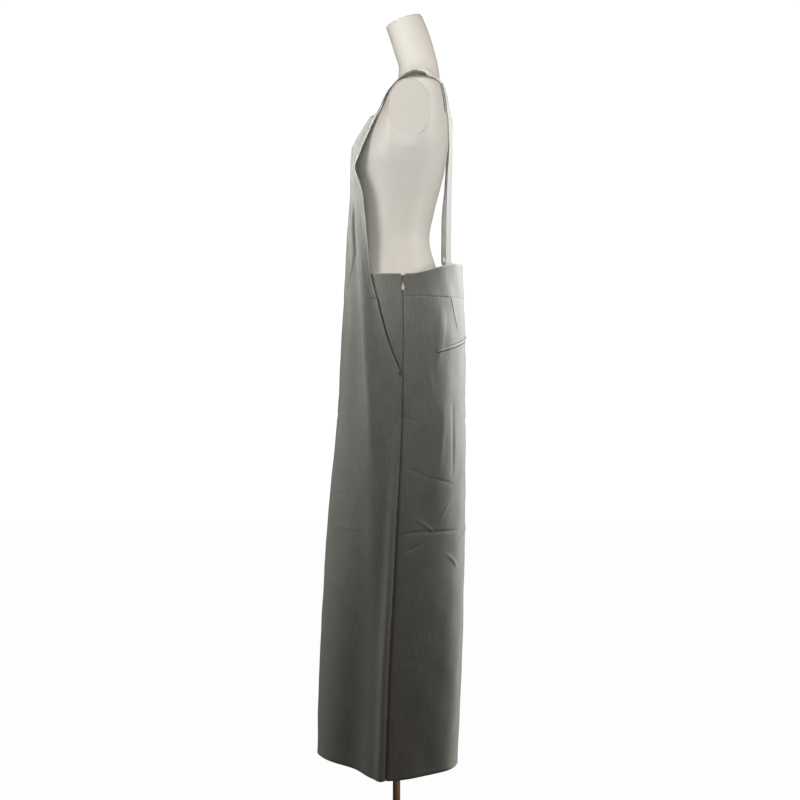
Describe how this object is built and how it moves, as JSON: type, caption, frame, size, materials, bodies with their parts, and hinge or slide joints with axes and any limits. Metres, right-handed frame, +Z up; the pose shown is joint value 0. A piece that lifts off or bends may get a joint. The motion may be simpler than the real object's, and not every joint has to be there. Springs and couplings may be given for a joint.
{
  "type": "overalls on a limbless dress form",
  "caption": "Wide-leg overalls with a V-neck bib, shoulder straps to a raised back waistband, side zip and slanted pockets, on a smooth limbless dress form with a pole stand.",
  "frame": {"origin": "centre of the round base plate's underside, on the axis of the pole, on the floor", "axes": "+Z up, -Y the garment's front, +X the wearer's left, the side with the zip"},
  "size_m": [0.4864, 0.3138, 1.7314],
  "materials": {
    "suiting": "smooth grey twill suiting",
    "form_skin": "smooth off-white skin",
    "bronzed_steel": "dark bronze",
    "zip_metal": "satin",
    "zip_tape": "woven tape",
    "horn": "polished"
  },
  "bodies": {
    "overalls_on_form": {"arm_plate_left": "form_skin", "arm_plate_right": "form_skin", "back_left": "suiting", "back_right": "suiting", "back_strap_left": "suiting", "back_strap_right": "suiting", "back_welt_left": "suiting", "back_welt_right": "suiting", "base_plate": "bronzed_steel", "form_torso": "form_skin", "front_left": "suiting", "front_right": "suiting", "pole": "bronzed_steel", "pole_socket": "bronzed_steel", "side_front_left": "suiting", "side_front_right": "suiting", "strap_button_left": "horn", "strap_button_right": "horn", "waistband_back": "suiting", "zip_slider": "zip_metal", "zip_tape": "zip_tape"},
    "pull": {"zip_pull": "zip_metal"}
  },
  "joints": [
    {"name": "zip_pull_hinge", "type": "hinge", "parent": "overalls_on_form", "child": "pull", "pos_m": [0.15662, 0.0135, 1.1465], "axis": [0, -1, 0], "range_deg": [0, 120]}
  ]
}
